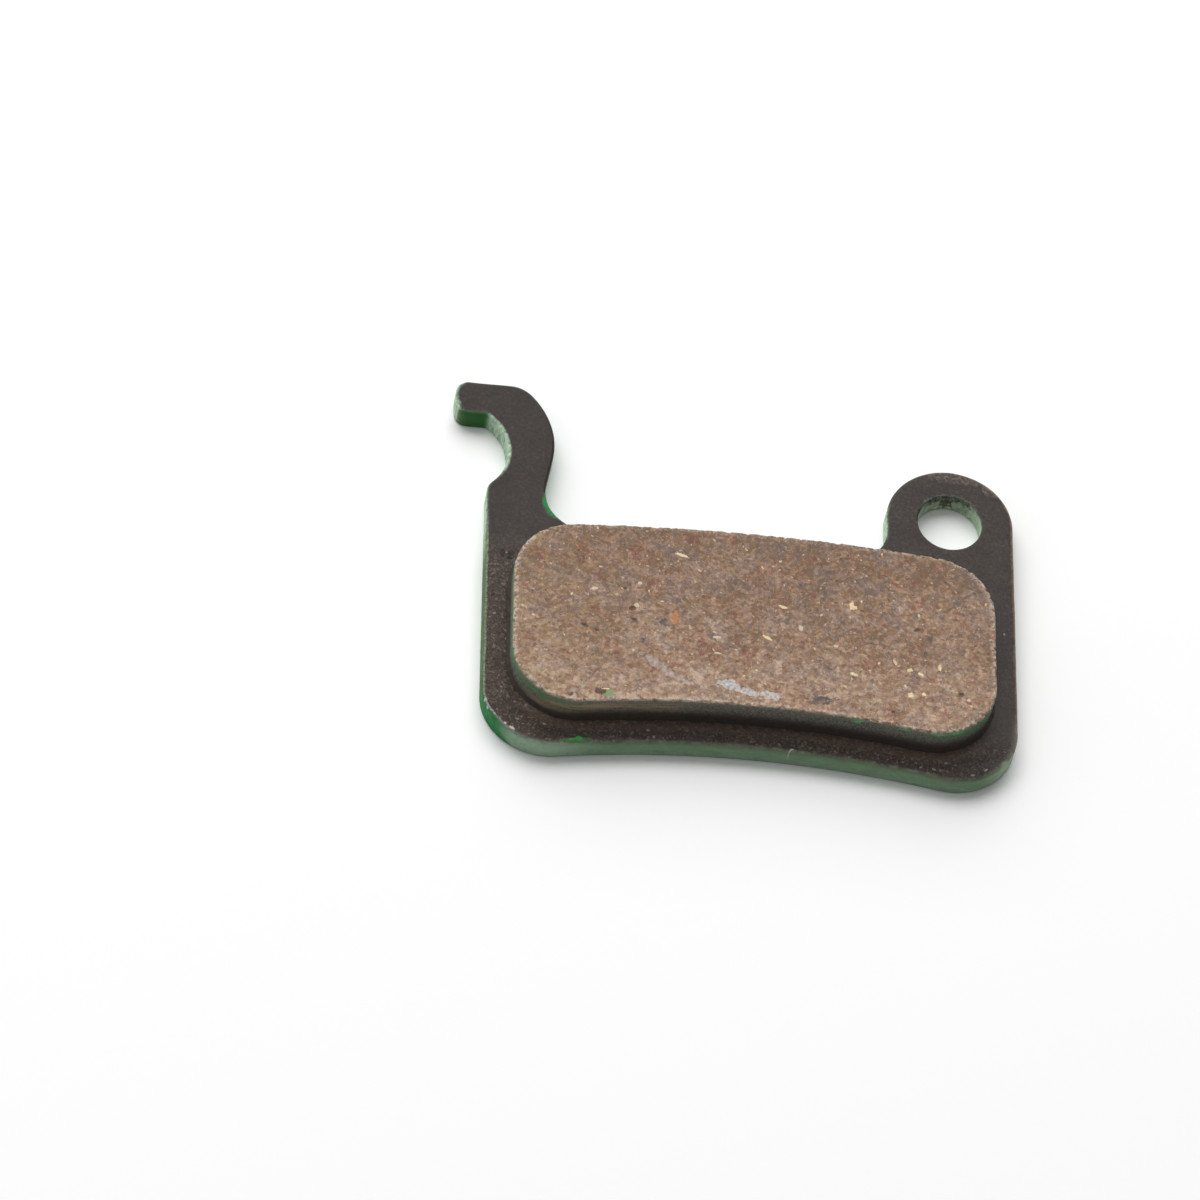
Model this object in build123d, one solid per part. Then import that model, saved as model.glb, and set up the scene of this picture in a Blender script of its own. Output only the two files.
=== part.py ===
from build123d import *

import os
from math import cos, radians, sin, sqrt, tan

# Bicycle disc brake pad: a stamped steel backing plate that carries a moulded friction lining.
# The pad lies on its back. The origin is on the back face, on the piston's axis, at the lining's centre.
# +X runs along the rotor's rim towards the pin hole, +Y away from the wheel's axis, +Z towards the rotor.

# Backing plate
plate_thickness = 1.5
plate_corner_radius = 4.4
side_margin = 1.75          # plate left bare beside the lining, at each end
lower_margin = 2.0          # plate left bare along the lower edge
upper_margin = 0.5          # plate left bare along the upper edge
rotor_arc_radius = 75.0     # lower edge, struck from the wheel's axis
rim_roll = 0.2              # rounded rim that the punch leaves on the upper side
rim_break = 0.08            # broken edges on the back

# Friction lining
lining_length = 32.5
lining_height = 14.2        # on the centre line
lining_thickness = 2.0
lining_corner_radius = 4.3
lining_crown_radius = 135.0
lining_foot = 0.2           # flash squeezed out along the foot of the wall
lining_edge_break = 0.1

# Keying holes, filled by the lining when it is moulded on
key_diameter = 5.0
key_spacing = 17.0
key_recess = 0.2            # the plugs stop this far short of the back face

# Ear with the hole for the pad pin
pin_diameter = 4.0
pin_clearance = 0.4
pin_rise = 3.45             # pin axis above the plate's upper edge
ear_wall = 2.15
ear_foot_radius = 2.2
pin_hole_roll = 0.12

# Hook with the notch that rides on the caliper's guide
notch_radius = 3.7
notch_outset = 2.33         # notch centre, outside the plate's left edge
notch_rise = 6.0            # notch centre, above the plate's upper edge
notch_root_radius = 0.4
shoulder_radius = 1.2
finger_gap = 2.9            # finger's lower edge, above the notch centre
finger_width = 2.8
finger_reach = 2.28         # finger's tip, outside the plate's left edge
finger_tip_radius = 0.9
hook_crown_radius = 2.0
arm_width = 3.18            # between the bottom of the notch and the outer bend
arm_bend_radius = 6.2
arm_bend_rise = 0.88        # centre of the outer bend, above the notch centre
arm_lean = 10.5             # degrees that the arm's inner edge leans from upright
arm_foot_radius = 3.0

# Derived sizes and places
plate_half = lining_length / 2 + side_margin
plate_upper = lining_height / 2 + upper_margin
plate_lower = -lining_height / 2 - lower_margin
wheel_axis_y = plate_lower - rotor_arc_radius
pin_hole_radius = (pin_diameter + pin_clearance) / 2
ear_radius = pin_hole_radius + ear_wall
pin_x = plate_half - ear_radius
pin_y = plate_upper + pin_rise
notch_x = -plate_half - notch_outset
notch_y = plate_upper + notch_rise
finger_lower = notch_y + finger_gap
finger_upper = finger_lower + finger_width
finger_tip = -plate_half - finger_reach
bend_x = notch_x + notch_radius + arm_width - arm_bend_radius
bend_y = notch_y + arm_bend_rise


def reach(radius, offset):
    """Half chord of a circle at an offset from its centre."""
    return sqrt(radius**2 - offset**2)


def round_corner(face, corner, radius):
    """Rounds the corner of a flat face that lies at the given point."""
    vertex = face.vertices().sort_by_distance(corner)[0]
    return fillet(vertex, radius)


def plate_outline():
    """Outline of the stamping: sharp corners joined by lines and arcs, then rounded one by one."""
    lower_corner_y = wheel_axis_y + reach(rotor_arc_radius, plate_half)
    lower_left = (-plate_half, lower_corner_y)
    lower_right = (plate_half, lower_corner_y)
    shoulder = (-plate_half, notch_y - reach(notch_radius, notch_outset))
    notch_root = (notch_x + reach(notch_radius, finger_gap), finger_lower)
    tip_lower = (finger_tip, finger_lower)
    tip_upper = (finger_tip, finger_upper)
    crown = (bend_x + reach(arm_bend_radius, finger_upper - bend_y), finger_upper)
    lean = radians(arm_lean)
    bend_end = (bend_x + arm_bend_radius * cos(lean), bend_y - arm_bend_radius * sin(lean))
    arm_foot = (bend_end[0] - (bend_end[1] - plate_upper) * tan(lean), plate_upper)
    ear_foot = (pin_x - ear_radius, plate_upper)
    ear_left = (pin_x - ear_radius, pin_y)
    ear_right = (plate_half, pin_y)

    face = make_face([
        Line(lower_left, shoulder),
        ThreePointArc(shoulder, (notch_x + notch_radius, notch_y), notch_root),
        Line(notch_root, tip_lower),
        Line(tip_lower, tip_upper),
        Line(tip_upper, crown),
        ThreePointArc(crown, (bend_x + arm_bend_radius, bend_y), bend_end),
        Line(bend_end, arm_foot),
        Line(arm_foot, ear_foot),
        Line(ear_foot, ear_left),
        ThreePointArc(ear_left, (pin_x, pin_y + ear_radius), ear_right),
        Line(ear_right, lower_right),
        ThreePointArc(lower_right, (0, plate_lower), lower_left),
    ])
    face = round_corner(face, lower_left, plate_corner_radius)
    face = round_corner(face, lower_right, plate_corner_radius)
    face = round_corner(face, shoulder, shoulder_radius)
    face = round_corner(face, notch_root, notch_root_radius)
    face = round_corner(face, tip_lower, finger_tip_radius)
    face = round_corner(face, tip_upper, finger_tip_radius)
    face = round_corner(face, crown, hook_crown_radius)
    face = round_corner(face, arm_foot, arm_foot_radius)
    return round_corner(face, ear_foot, ear_foot_radius)


def lining_outline():
    """Outline of the lining: upright ends, a crowned upper edge and a lower edge struck from the wheel's axis."""
    half = lining_length / 2
    upper, lower = lining_height / 2, -lining_height / 2
    crown_centre_y = upper - lining_crown_radius
    lower_radius = lower - wheel_axis_y
    upper_corner_y = crown_centre_y + reach(lining_crown_radius, half)
    lower_corner_y = wheel_axis_y + reach(lower_radius, half)
    corners = [(half, upper_corner_y), (-half, upper_corner_y), (-half, lower_corner_y), (half, lower_corner_y)]

    face = make_face([
        ThreePointArc(corners[0], (0, upper), corners[1]),
        Line(corners[1], corners[2]),
        ThreePointArc(corners[2], (0, lower), corners[3]),
        Line(corners[3], corners[0]),
    ])
    for corner in corners:
        face = round_corner(face, corner, lining_corner_radius)
    return face


def key_places():
    """Centres of the keying holes, on the lining's long axis."""
    return Locations((-key_spacing / 2, 0), (key_spacing / 2, 0))


def back_plate():
    """Steel stamping with the pin hole and the keying holes pierced through it."""
    pin_hole = Pos(pin_x, pin_y) * Circle(pin_hole_radius)
    key_holes = [place * Circle(key_diameter / 2) for place in key_places().local_locations]
    blank = plate_outline() - pin_hole - key_holes
    plate = extrude(blank, plate_thickness)

    upper_face = plate.faces().sort_by(Axis.Z)[-1]
    plate = fillet(upper_face.outer_wire().edges(), rim_roll)
    pin_rim = plate.edges().filter_by(GeomType.CIRCLE).sort_by_distance((pin_x, pin_y, plate_thickness))[0]
    plate = fillet(pin_rim, pin_hole_roll)
    back_face = plate.faces().sort_by(Axis.Z)[0]
    return chamfer(back_face.edges(), rim_break)


def friction_lining():
    """Moulded block on the plate, with its flash, its worn upper edge and the plugs in the keying holes."""
    outline = lining_outline()
    block = extrude(outline, lining_thickness)
    block = chamfer(block.faces().sort_by(Axis.Z)[-1].edges(), lining_edge_break)
    flash = extrude(offset(outline, lining_foot), lining_foot, taper=45)
    plug = Cylinder(key_diameter / 2, plate_thickness - key_recess, align=(Align.CENTER, Align.CENTER, Align.MAX))
    plugs = [place * plug for place in key_places().local_locations]
    return Pos(0, 0, plate_thickness) * (block + flash + plugs)


os.makedirs("parts", exist_ok=True)
export_step(back_plate(), "parts/back_plate.step")
export_step(friction_lining(), "parts/friction_lining.step")
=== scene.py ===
import math
from functools import cached_property, partial, reduce

import bmesh
import bpy
import numpy as np
from mathutils import Matrix, Vector, kdtree, noise
from mathutils.geometry import delaunay_2d_cdt


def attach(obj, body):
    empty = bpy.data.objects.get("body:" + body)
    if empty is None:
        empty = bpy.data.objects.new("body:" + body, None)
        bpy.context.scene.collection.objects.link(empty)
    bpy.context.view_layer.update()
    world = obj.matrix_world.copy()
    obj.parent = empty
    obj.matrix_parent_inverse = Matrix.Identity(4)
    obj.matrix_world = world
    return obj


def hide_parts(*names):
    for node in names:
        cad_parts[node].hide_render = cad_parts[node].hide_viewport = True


# Disc brake pad, dressed: a painted steel stamping and the speckled friction block moulded on it.
# Lengths are in millimetres, in the frame's own axes, and become metres when a mesh is made.
# A rim distance runs along the surface from the border of the upper face, positive down the wall and negative
# on the face. A border is a pair: where its mask is 0, then where it is 1.

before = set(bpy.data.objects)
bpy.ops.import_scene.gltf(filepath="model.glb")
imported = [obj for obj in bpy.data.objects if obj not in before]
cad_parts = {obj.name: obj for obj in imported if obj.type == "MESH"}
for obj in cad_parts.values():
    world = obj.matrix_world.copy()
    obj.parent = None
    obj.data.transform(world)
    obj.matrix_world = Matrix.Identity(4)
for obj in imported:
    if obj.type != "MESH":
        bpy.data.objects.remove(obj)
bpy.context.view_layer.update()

MM = 0.001
HIDDEN = 99.0  # rim distance of faces that nothing shows
SAME_PLACE = 0.001  # corners in the frame this close are one
SAME_LEVEL = 0.002  # and so are heights

# Mesh spacing
plate_spacing = 0.13
lining_spacing = 0.09
covered_spacing = 1.2  # plate under the lining
cover_margin = 0.5  # fine spacing reaches this far under the lining
back_spacing = 0.3
wall_step = 0.14
key_wall_step = 1.4
roll_steps = 5
rim_clearance = 0.6  # share of the spacing that inner points keep from a rim
weld_distance = 1e-6

# Edges of the stamping and of the lining
rim_roll = 0.2
pin_hole_roll = 0.12
rim_break = 0.08
edge_break = 0.1
foot_flare = 0.2

# Hook of the stamping
notch_centre = (-20.33, 13.6)
notch_radius = 3.7
finger_lower = 16.5

# Relief
octave_fall, octave_gap = 1.0, 2.0
coat_grain = 0.26
coat_relief = 0.005
grit_size = 0.4
grit_relief = 0.028
rim_swell = 1.6
rim_wander = 0.012
rim_border = (-0.3, 0.1)
upward = 0.3  # least rise of a normal that counts as upward
face_grain = 0.24
face_relief = 0.014
face_border = (0.1, -0.05)
pit_spacing = 0.9
pit_radius = 0.16  # share of the spacing
pit_share = 0.3  # of the cells
pit_draw = 7.0  # spreads the cells' places before each draws its number
pit_depth = 0.05
pit_mark_depth = 0.06
pit_mark_border = (0.0, 0.6)
edge_start, edge_end = (-0.25, 0.0), (0.3, 0.1)
chip_size = 0.42
chip_least = 0.15
chip_depth = 0.24
fray_size = 0.35
fray_depth = 0.045
wall_start, wall_end = (0.1, 0.3), (2.0, 1.7)
wall_grain = 0.6
wall_relief = 0.02
drawn_grain = 0.5
drawn_relief = 0.012
drawn_factors = (0.3, 0.3, 3.0)
foot_border = (1.75, 2.0)
foot_swell = 0.8
foot_spread = 0.1

# Marks on the lining's face: x, y, half length, half width, turn in degrees
smear_marks = [
    (-1.75, -5.62, 0.85, 0.34, -18), (-1.6, -5.4, 0.3, 0.3, 0),
    (-0.45, -6.02, 0.75, 0.26, -12), (1, -6.15, 0.72, 0.32, -10),
]
faint_marks = [
    (-6.6, -4.42, 1, 0.3, -37), (-5.7, -5.1, 0.4, 0.2, -35), (-4.7, -5.6, 0.45, 0.12, -25),
]
blotch_marks = [
    (4.4, -6.2, 0.7, 0.35, 5), (11.47, -1.69, 0.3, 0.22, 20), (11.76, -0.42, 0.34, 0.2, 60),
    (-6.17, -0.94, 0.3, 0.25, 40), (-7.43, -2.56, 0.34, 0.24, 0), (-12.38, -7.4, 0.25, 0.2, 0),
]
pit_marks = [
    (13.79, -4.71, 0.27, 0.16, 20), (10.89, 0.3, 0.2, 0.12, 30), (-8.81, 1.56, 0.15, 0.12, 0),
    (-8.32, -0.03, 0.25, 0.17, 20), (-8.18, -0.92, 0.22, 0.12, -20), (-11.45, -1.78, 0.28, 0.13, -25),
    (-10.65, -2.1, 0.16, 0.1, -20), (9.19, -6.6, 0.13, 0.13, 0),
]
bead_marks = [
    (-10.82, 1.33, 0.2, 0.13, 10), (-7.99, 0.25, 0.17, 0.16, 0), (-7.8, 2.09, 0.16, 0.12, 0),
    (3.05, -0.41, 0.14, 0.24, 10), (5.4, -1.62, 0.15, 0.11, 0), (-2.61, -1.78, 0.25, 0.1, 5),
    (-2.54, -3.08, 0.23, 0.08, 0), (14.32, -5.06, 0.15, 0.13, 0), (9.37, -2.5, 0.09, 0.24, 20),
]
brass_marks = [
    (6.48, 1.9, 0.28, 0.12, 78), (6.6, 1.66, 0.27, 0.14, 10), (6.54, 1.76, 0.18, 0.17, 0),
    (1.84, 1.19, 0.28, 0.12, -22), (-4.99, 4.73, 0.46, 0.12, -18), (0.8, -1.46, 0.36, 0.12, -26),
    (6.59, -3.79, 0.26, 0.12, -18), (11.11, -3.29, 0.22, 0.11, -25), (10.37, -3.04, 0.22, 0.12, 20),
    (12.4, -2.65, 0.12, 0.24, 0), (10.41, -5.08, 0.2, 0.19, 0), (11.29, -4.9, 0.12, 0.15, 0),
    (-10, -6.8, 0.3, 0.05, 5),
]
rust_marks = [(-5.43, -0.5, 0.5, 0.24, 80)]
green_marks = [(-9.83, -7.1, 0.36, 0.27, 30)]
gouge_marks = [(-10.35, -7.02, 0.4, 0.26, 0)]
lip_marks = [
    (6.87, -7.3, 0.5, 0.3, -8), (10, -7.65, 0.45, 0.2, -8), (12.36, -7.95, 0.5, 0.3, 0),
    (13.6, -7.8, 0.6, 0.35, 15),
]

# Marks on the plate
wrap_marks = [(-13.7, 9.2, 1.3, 0.7, -65)]
dull_marks = [(-11.7, -9.75, 1.2, 0.2, 5), (-11.2, -9.65, 0.7, 0.2, 5)]
lump_marks = [(-11.5, -9.56, 0.24, 0.16, 10), (-11.95, -9.7, 0.25, 0.08, 10)]
worn_marks = [(13.4, 14.95, 1.3, 0.45, -2), (14.8, 14.85, 1, 0.4, -12), (16.3, 14.1, 0.8, 0.3, -45)]
stain_marks = [(13.5, 13.23, 0.4, 0.4, 0)]
bare_marks = [
    (-15.94, -9.2, 0.22, 0.09, -35), (-17.78, -7.1, 0.05, 0.14, 0), (-17.6, -7.7, 0.06, 0.14, 15),
    (-16.4, -8.85, 0.1, 0.06, -40),
]
grit_marks = [
    (-16.57, 5.1, 0.08, 0.06, 40), (-17.3, 0, 0.12, 0.09, 30), (-16.5, -1.35, 0.1, 0.07, 0),
    (-16.45, -2, 0.12, 0.08, 60), (-16.7, -5.95, 0.1, 0.07, 20), (-15.05, -7.25, 0.13, 0.1, 70),
    (-15.6, -8.45, 0.12, 0.08, 0), (-13.8, -8.65, 0.14, 0.09, -20), (-11.3, -8.4, 0.15, 0.09, 0),
    (-10.75, -8.25, 0.12, 0.07, 20), (-9.25, -8.2, 0.14, 0.07, 10), (-8.4, -8, 0.16, 0.08, 15),
    (-6.9, -8.4, 0.12, 0.1, 0), (-6.5, -8.93, 0.08, 0.11, 0), (17.2, 2.1, 0.07, 0.1, 10),
    (-5.1, -7.6, 0.08, 0.06, 0), (13.06, -8.91, 0.11, 0.11, 0), (12.25, -9.49, 0.14, 0.08, -20),
    (15.75, -9.19, 0.13, 0.07, 35), (14.86, -9.69, 0.14, 0.07, 20), (11.37, -9.42, 0.1, 0.07, 0),
    (10.17, -9.14, 0.08, 0.06, 0),
]
scuff_marks = [(-16.85, 5.07, 0.18, 0.32, 0), (-16.28, 5.09, 0.26, 0.2, 0), (-16.37, 4.66, 0.2, 0.15, 0)]
fibre_marks = [(2.6, -9.05, 0.22, 0.05, 55), (2.75, -8.93, 0.1, 0.05, 20)]

# Camera, fitted to the photograph
camera_target = (-10.25, 1.68, 1.75)
camera_distance = 495.3
camera_azimuth = -10.02
camera_elevation = 53.11
camera_roll = 13.3
camera_lens = 222.6
sensor_width = 36
clip_range = (10, 10000)

# Light: each source's share of the light that falls on the floor
dome_level = 0.15
back_level = 1.1
side_level = 0.1
back_softbox = (-168, 45, 1000, 1200)  # azimuth, elevation, distance, side
side_softbox = (-95, 30, 700, 600)
floor_half = 900
floor_drop = 0.02  # keeps the floor clear of the back face
floor_white = 0.97
floor_glow = 0.06  # only seen, not shed on the pad, so that the lit floor is white


# Outlines from the frame

def node_levels(node):
    """Heights at which the node's mesh has vertices, from the lowest up."""
    return sorted({round(v.co.z / MM, 3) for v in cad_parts[node].data.vertices})


def signed_area(loop):
    """Area inside a loop, positive if it runs anticlockwise."""
    x, y = loop[:, 0], loop[:, 1]
    return 0.5 * np.sum(x * np.roll(y, -1) - np.roll(x, -1) * y)


def outlines_at(node, level):
    """Closed outlines of the node at one height: the largest, anticlockwise, then its holes, clockwise."""
    bm = bmesh.new()
    bm.from_mesh(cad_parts[node].data)
    bmesh.ops.remove_doubles(bm, verts=bm.verts, dist=SAME_PLACE * MM)
    left = {v for v in bm.verts if abs(v.co.z / MM - level) < SAME_LEVEL}
    beside = {v: [e.other_vert(v) for e in v.link_edges if e.other_vert(v) in left] for v in left}
    loops = []
    while left:
        walk = [min(left, key=lambda v: v.co.to_tuple())]
        left.remove(walk[0])
        while step := [v for v in beside[walk[-1]] if v in left]:
            walk.append(step[0])
            left.remove(step[0])
        loops.append(np.array([v.co.to_tuple()[:2] for v in walk]) / MM)
    bm.free()
    loops.sort(key=lambda loop: -abs(signed_area(loop)))
    return [loop if (signed_area(loop) > 0) == (i == 0) else loop[::-1] for i, loop in enumerate(loops)]


class Outline:
    """Evenly spaced points on a smooth curve through an outline's corners, with outward normals."""

    def __init__(self, corners, spacing):
        chord = np.roll(corners, -1, 0) - corners
        length = np.linalg.norm(chord, axis=1)
        tangent = chord + np.roll(chord, 1, 0)
        tangent /= np.linalg.norm(tangent, axis=1, keepdims=True)
        start = np.concatenate([[0.0], np.cumsum(length)])
        count = round(start[-1] / spacing)
        along = np.arange(count) * start[-1] / count
        i = np.searchsorted(start, along, side="right") - 1
        j = (i + 1) % len(corners)
        t = ((along - start[i]) / length[i])[:, None]
        reach = length[i][:, None]
        self.points = (
            (2 * t**3 - 3 * t**2 + 1) * corners[i] + (t**3 - 2 * t**2 + t) * reach * tangent[i]
            + (3 * t**2 - 2 * t**3) * corners[j] + (t**3 - t**2) * reach * tangent[j]
        )
        way = np.roll(self.points, -1, 0) - np.roll(self.points, 1, 0)
        way /= np.linalg.norm(way, axis=1, keepdims=True)
        self.normals = np.stack([way[:, 1], -way[:, 0]], axis=1)

    def inset(self, depth):
        """The points moved into the material."""
        return self.points - self.normals * depth


class Inside:
    """Tells how far points lie inside a set of outlines."""

    def __init__(self, outlines):
        self.points = np.concatenate([outline.points for outline in outlines])
        self.normals = np.concatenate([outline.normals for outline in outlines])
        self.tree = kdtree.KDTree(len(self.points))
        for i, (x, y) in enumerate(self.points):
            self.tree.insert((x, y, 0.0), i)
        self.tree.balance()

    def depth(self, places):
        """Distance to the nearest outline, positive inside the material."""
        nearest = np.array([self.tree.find((x, y, 0.0))[1] for x, y in places], int)
        away = np.asarray(places) - self.points[nearest]
        side = -np.sign(np.sum(away * self.normals[nearest], axis=1))
        return side * np.linalg.norm(away, axis=1)

    def lattice(self, spacing, margin):
        """Points of a triangular lattice at least a margin inside, and how deep each lies."""
        low, high = self.points.min(0), self.points.max(0)
        rows = np.arange(low[1], high[1], spacing * math.sqrt(3) / 2)
        x, y = np.meshgrid(np.arange(low[0], high[0], spacing), rows)
        x = x + (np.arange(len(rows)) % 2)[:, None] * spacing / 2
        places = np.stack([x.ravel(), y.ravel()], axis=1)
        depth = self.depth(places)
        return places[depth > margin], depth[depth > margin]


# Skins

class Skin:
    """Gathers the walls and caps of one closed mesh, with the rim distance of each point."""

    def __init__(self):
        self.points, self.rims, self.faces = [], [], []

    def add(self, flat, height, rims):
        """Adds points at one height and returns their indices."""
        first = len(self.points)
        self.points.extend((x, y, height) for x, y in flat)
        self.rims.extend(np.broadcast_to(rims, len(flat)))
        return list(range(first, len(self.points)))

    def wall(self, outline, profile, hidden=False):
        """Rings of an outline along a profile of (inset, height) pairs. Returns the first and the last."""
        rings, rim, before = [], 0.0, profile[0]
        for step in profile:
            rim += math.dist(step, before)
            before = step
            rings.append(self.add(outline.inset(step[0]), step[1], HIDDEN if hidden else rim))
        for upper, lower in zip(rings, rings[1:]):
            for k in range(len(upper)):
                self.faces.append([upper[k - 1], lower[k - 1], lower[k], upper[k]])
        return rings[0], rings[-1]

    def cap(self, rings, flat, rims, upward):
        """Triangles through points, inside the first ring and outside the others."""
        height = self.points[rings[0][0]][2]
        index = [*sum(rings, []), *self.add(flat, height, rims)]
        edges, first = [], 0
        for ring in rings:
            edges += [(first + k, first + (k + 1) % len(ring)) for k in range(len(ring))]
            first += len(ring)
        places = [Vector(self.points[i][:2]) for i in index]
        _, _, triangles, origins, *_ = delaunay_2d_cdt(places, edges, [], 1, weld_distance)
        corners = [index[old[0]] for old in origins]
        holes = [set(ring) for ring in rings[1:]]
        for face in triangles:
            turned = [corners[k] for k in face]
            if not any(hole.issuperset(turned) for hole in holes):
                self.faces.append(turned if upward else turned[::-1])

    def build(self, name):
        """The object with this mesh, in the scene."""
        mesh = bpy.data.meshes.new(name)
        mesh.from_pydata(np.array(self.points) * MM, [], self.faces)
        set_attributes(mesh, rim=self.rims)
        mesh.shade_smooth()
        return place_object(name, mesh)


def place_object(name, data):
    """A new object in the scene."""
    piece = bpy.data.objects.new(name, data)
    bpy.context.scene.collection.objects.link(piece)
    return piece


def set_attributes(mesh, **masks):
    """Stores a number for each vertex under each name."""
    for name, values in masks.items():
        attribute = mesh.attributes.new(name, "FLOAT", "POINT")
        attribute.data.foreach_set("value", np.array(values, np.float32))


def straight(start, end, step):
    """Points of a profile from start to end, without the start."""
    count = max(1, math.ceil(math.dist(start, end) / step))
    share = np.arange(1, count + 1)[:, None] / count
    return [tuple(p) for p in np.array(start) + share * (np.array(end) - np.array(start))]


def stamped_profile(top, back, roll):
    """Section of the stamping's edge: rolled at the top, upright, then broken at the back."""
    turn = np.linspace(math.pi / 2, 0, roll_steps + 1)
    rolled = [(roll * (1 - math.cos(a)), top - roll + roll * math.sin(a)) for a in turn]
    upright = straight(rolled[-1], (0.0, back + rim_break), wall_step)
    return rolled + upright + straight(upright[-1], (rim_break, back), wall_step)


def plate_skin(outer, pin_hole, keys, lining):
    """The stamping: finely meshed where it shows, coarsely under the lining."""
    back, *_, top = node_levels("back_plate")
    skin = Skin()
    ends = [skin.wall(outer, stamped_profile(top, back, rim_roll))]
    ends.append(skin.wall(pin_hole, stamped_profile(top, back, pin_hole_roll)))
    for key in keys:
        upright = straight((0.0, top), (0.0, back + rim_break), key_wall_step)
        ends.append(skin.wall(key, [(0.0, top), *upright, (rim_break, back)]))
    inside = Inside([outer, pin_hole, *keys])
    fine, fine_depths = inside.lattice(plate_spacing, rim_roll + rim_clearance * plate_spacing)
    shown = lining.depth(fine) < cover_margin
    coarse, coarse_depths = inside.lattice(covered_spacing, covered_spacing / 2)
    covered = lining.depth(coarse) > cover_margin + covered_spacing / 2
    places = np.concatenate([fine[shown], coarse[covered]])
    depths = np.concatenate([fine_depths[shown], coarse_depths[covered]])
    skin.cap([first for first, last in ends], places, rim_roll - depths, True)
    places, depths = inside.lattice(back_spacing, rim_break + rim_clearance * back_spacing)
    skin.cap([last for first, last in ends], places, top - back + depths, False)
    return skin.build("backing_plate")


def lining_skin(outline, keys):
    """The friction block, with its foot spread on the plate and its plugs in the keying holes."""
    plug_end, foot, *_, top = node_levels("friction_lining")
    skin = Skin()
    profile = [(edge_break, top), *straight((edge_break, top), (0.0, top - edge_break), edge_break / 2)]
    profile += straight(profile[-1], (0.0, foot + foot_flare), lining_spacing)
    turn = np.linspace(0, math.pi / 2, roll_steps + 1)[1:]
    profile += [(foot_flare * (math.cos(a) - 1), foot + foot_flare * (1 - math.sin(a))) for a in turn]
    upper, lower = skin.wall(outline, profile)
    inside = Inside([outline])
    places, depths = inside.lattice(lining_spacing, edge_break + rim_clearance * lining_spacing)
    skin.cap([upper], places, edge_break - depths, True)
    under = [lower]
    for key in keys:
        plug = Outline(key.points[::-1], plate_spacing)
        first, last = skin.wall(plug, [(0.0, foot), (0.0, plug_end)], hidden=True)
        under.append(first)
        places, _ = Inside([plug]).lattice(back_spacing, rim_clearance * back_spacing)
        skin.cap([last], places, HIDDEN, False)
    skin.cap(under, np.empty((0, 2)), HIDDEN, False)
    return skin.build("lining_block")


# Relief

def rough(points, size, octaves=3):
    """Fractal noise of about that size at each point, around zero."""
    scaled = (Vector(p) / size for p in points)
    return np.array([noise.fractal(p, octave_fall, octave_gap, octaves) for p in scaled])


def pits(points):
    """How far each point lies in a scattered pit, from 0 at its rim to 1 at its middle."""
    depth = np.zeros(len(points))
    for i, p in enumerate(points):
        distances, centres = noise.voronoi(Vector(p) / pit_spacing)
        if noise.cell_vector(centres[0] * pit_draw).x < pit_share:
            depth[i] = max(0.0, 1 - distances[0] / pit_radius)
    return depth


def smooth_step(start, end, value):
    """0 at the start and before it, 1 at the end and past it. The end may lie below the start."""
    t = np.clip((value - start) / (end - start), 0, 1)
    return t * t * (3 - 2 * t)


def mark_share(points, marks):
    """How far each point lies within the marks, from 0 at their edges to 1 at their middles."""
    share = np.zeros(len(points))
    for x, y, half_length, half_width, turn in marks:
        c, s = math.cos(math.radians(turn)), math.sin(math.radians(turn))
        dx, dy = points[:, 0] - x, points[:, 1] - y
        reach = np.hypot((c * dx + s * dy) / half_length, (c * dy - s * dx) / half_width)
        share = np.maximum(share, np.clip(1 - reach, 0, 1))
    return share


def mesh_arrays(piece):
    """Places in millimetres, normals and rim distances of a piece's vertices."""
    mesh = piece.data
    count = len(mesh.vertices)
    points, normals, rims = np.empty(3 * count), np.empty(3 * count), np.empty(count)
    mesh.vertices.foreach_get("co", points)
    mesh.vertex_normals.foreach_get("vector", normals)
    mesh.attributes["rim"].data.foreach_get("value", rims)
    return points.reshape(-1, 3) / MM, normals.reshape(-1, 3), rims


def roughen(piece, points, normals, heights):
    """Moves a piece's vertices along their normals."""
    moved = (points + normals * heights[:, None]) * MM
    piece.data.vertices.foreach_set("co", moved.ravel())
    piece.data.update()


def plate_relief(piece, lining):
    """Sprayed grain on the coat, grit, and a rim that wanders. The back and the seat stay flat."""
    points, normals, rims = mesh_arrays(piece)
    grit = np.empty(len(points))
    piece.data.attributes["grit"].data.foreach_get("value", grit)
    heights = coat_relief * rough(points, coat_grain, 2)
    heights += rim_wander * rough(points, rim_swell, 2) * smooth_step(*rim_border, rims)
    heights += grit_relief * grit * rough(points, grit_size, 2)
    away = -lining.depth(points[:, :2])
    back = points[:, 2] < rim_break + SAME_PLACE
    seat = (normals[:, 2] > upward) & (away <= foot_flare + plate_spacing)
    heights[back | seat | (away < foot_flare)] = 0.0
    roughen(piece, points, normals, heights)


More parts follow.
